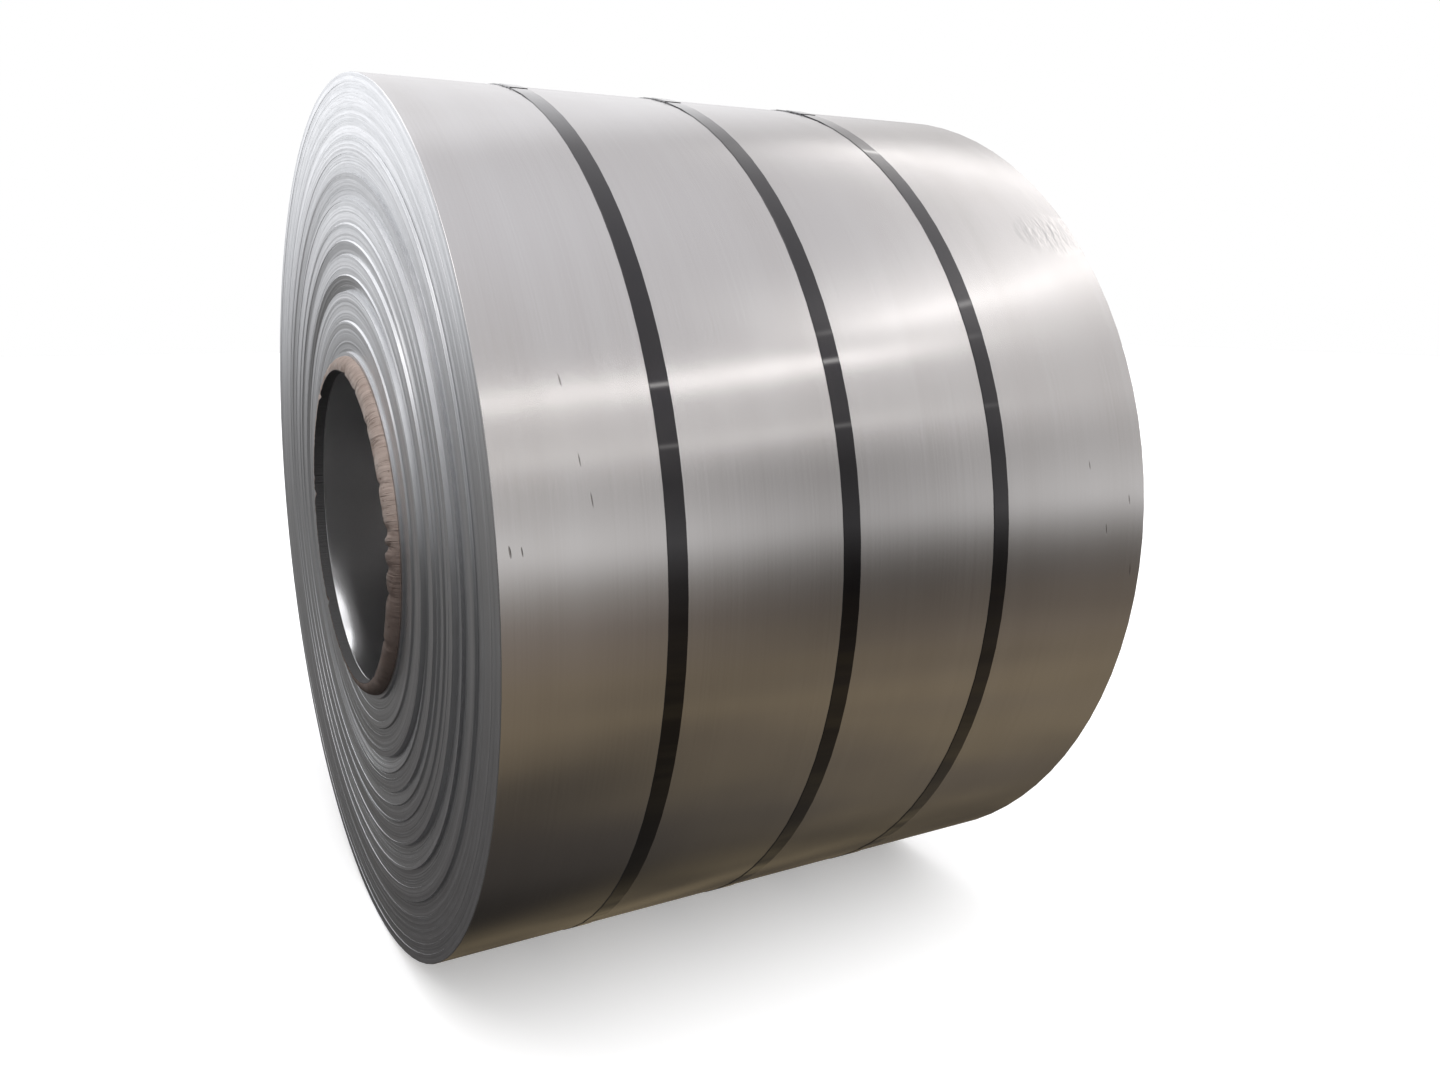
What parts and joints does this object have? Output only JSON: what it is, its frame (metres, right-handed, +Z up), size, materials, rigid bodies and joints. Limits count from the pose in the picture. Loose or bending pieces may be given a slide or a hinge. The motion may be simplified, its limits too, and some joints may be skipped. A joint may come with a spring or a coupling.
{
  "type": "steel coil",
  "caption": "Coil of bright steel strip lying on its side, held by dark steel straps with crimped seals, with a paper-board ring round the edge of the bore at each end.",
  "frame": {"origin": "on the ground under the middle of the coil", "axes": "+X along the coil's axis from the near end to the far end, +Z up, and -Y is the side that shows the barrel"},
  "size_m": [1.259, 1.667, 1.667],
  "materials": {
    "bright_strip": "satin, bright, with faint rolling lines",
    "blued_strap": "blued and waxed, half gloss",
    "blued_seal": "blued, worn bright at the folds",
    "kraft_board": "matte brown paper board, creased and frayed at the rim"
  },
  "bodies": {
    "root": {"coil": "bright_strip", "strap_near": "blued_strap", "strap_middle": "blued_strap", "strap_far": "blued_strap", "seal_near": "blued_seal", "seal_middle": "blued_seal", "seal_far": "blued_seal", "bore_ring_near": "kraft_board", "bore_ring_far": "kraft_board"}
  },
  "joints": []
}
